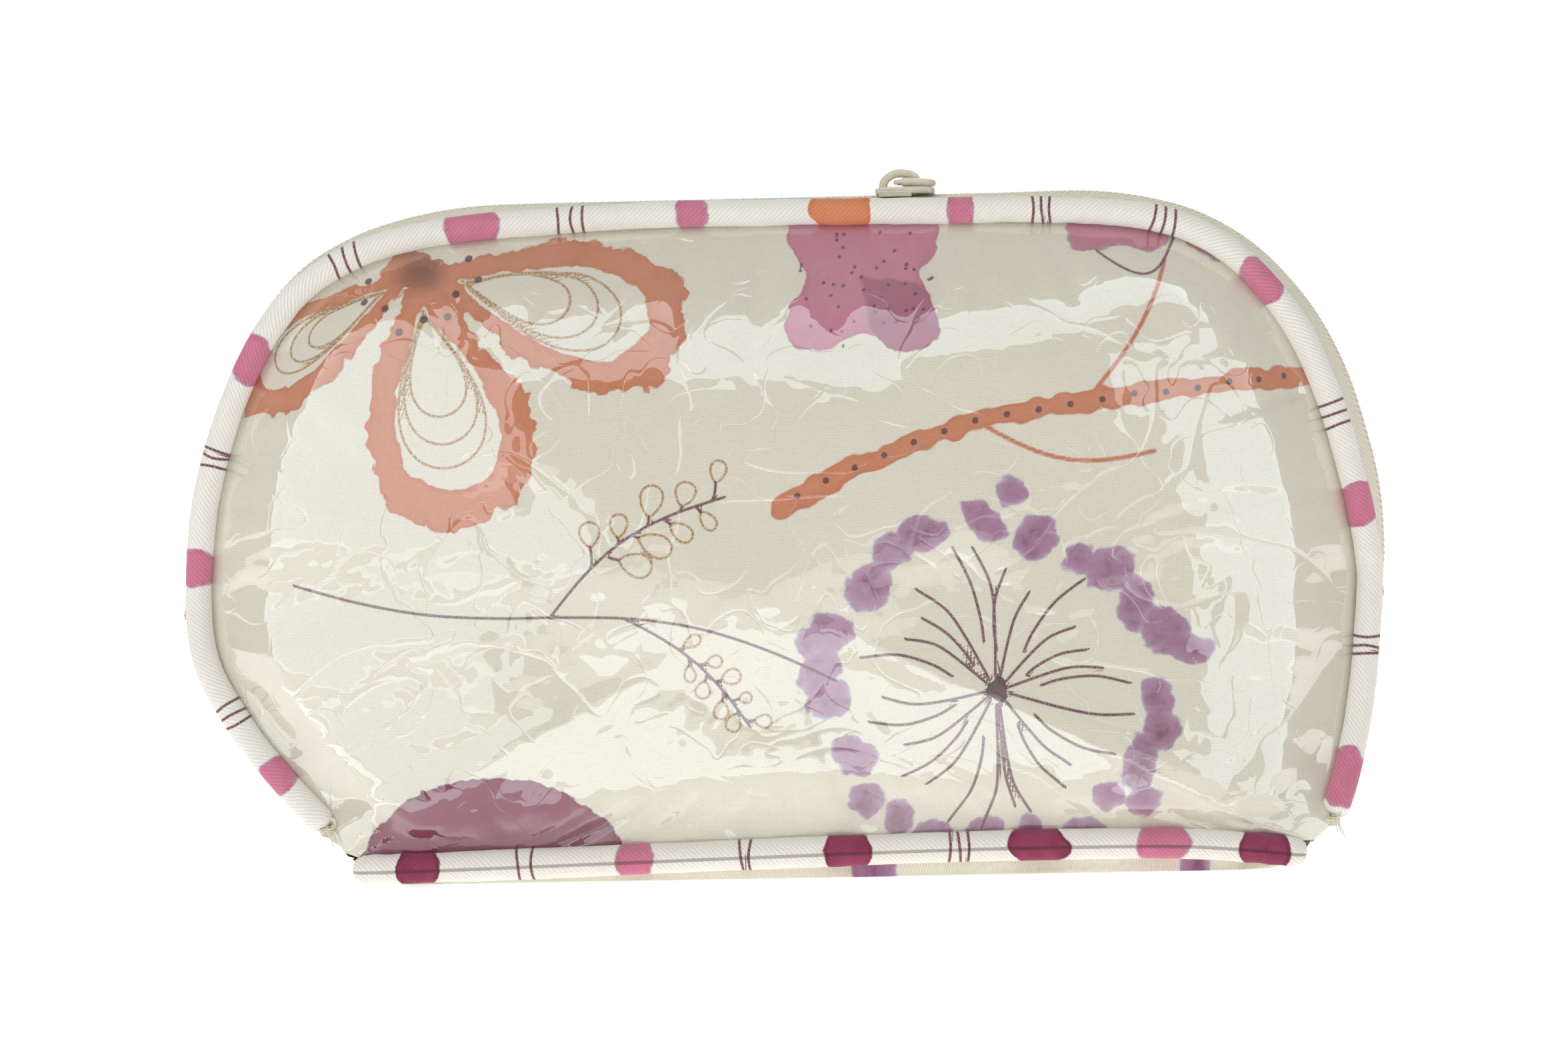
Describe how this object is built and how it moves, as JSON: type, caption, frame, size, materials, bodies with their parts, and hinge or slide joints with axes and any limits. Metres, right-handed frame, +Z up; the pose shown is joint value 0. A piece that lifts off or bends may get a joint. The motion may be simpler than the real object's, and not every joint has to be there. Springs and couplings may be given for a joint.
{
  "type": "zipped makeup bag",
  "caption": "Dome-shaped soft makeup bag with printed fabric faces under clear film, piped seams, a boxed base and a zip that runs over the top from side to side.",
  "frame": {"origin": "middle of the underside of the base, where the bag stands", "axes": "+Z up, +X along the bag's width towards its right as seen from the front, front face towards -Y"},
  "size_m": [0.2391, 0.0674, 0.1373],
  "materials": {
    "printed_fabric": "woven canvas with a painted flower print",
    "clear_film": "clear gloss film",
    "lining": "plain thin lining",
    "filler_cord": "soft cotton cord",
    "zip_tape": "woven cream tape",
    "zip_coil": "cream nylon",
    "thread": "sewing thread",
    "painted_metal": "cream enamel"
  },
  "bodies": {
    "shell": {"front_panel_lower": "printed_fabric", "back_panel": "printed_fabric", "front_piping_ends": "printed_fabric", "back_piping": "printed_fabric", "front_foot_piping": "printed_fabric", "back_foot_piping": "printed_fabric", "left_gusset": "printed_fabric", "right_gusset": "printed_fabric", "base_panel": "printed_fabric", "front_film_lower": "clear_film", "back_film": "clear_film", "front_lining_lower": "lining", "back_lining": "lining", "left_gusset_lining": "lining", "right_gusset_lining": "lining", "base_lining": "lining", "front_piping_end_cords": "filler_cord", "back_piping_cord": "filler_cord", "front_foot_cord": "filler_cord", "back_foot_cord": "filler_cord", "back_zip_tape": "zip_tape", "back_zip_coil": "zip_coil", "zip_end_tacks": "thread", "corner_tacks": "thread"},
    "front_flap": {"front_panel_upper": "printed_fabric", "front_film_upper": "clear_film", "front_lining_upper": "lining", "front_piping": "printed_fabric", "front_piping_cord": "filler_cord", "front_zip_tape": "zip_tape", "front_zip_coil": "zip_coil"},
    "slider": {"slider_body": "painted_metal"},
    "pull": {"pull_ring": "painted_metal"}
  },
  "joints": [
    {"name": "mouth", "type": "hinge", "parent": "shell", "child": "front_flap", "pos_m": [0, -0.0314, 0.054], "axis": [1, 0, 0], "range_deg": [0, 75]},
    {"name": "zip_slide", "type": "slide", "parent": "front_flap", "child": "slider", "axis": [1, 0, 0], "range_m": [-0.069, 0.018]},
    {"name": "pull_turn", "type": "hinge", "parent": "slider", "child": "pull", "pos_m": [0.0255, 0, 0.1353], "axis": [0, -1, 0], "range_deg": [0, 165]}
  ]
}
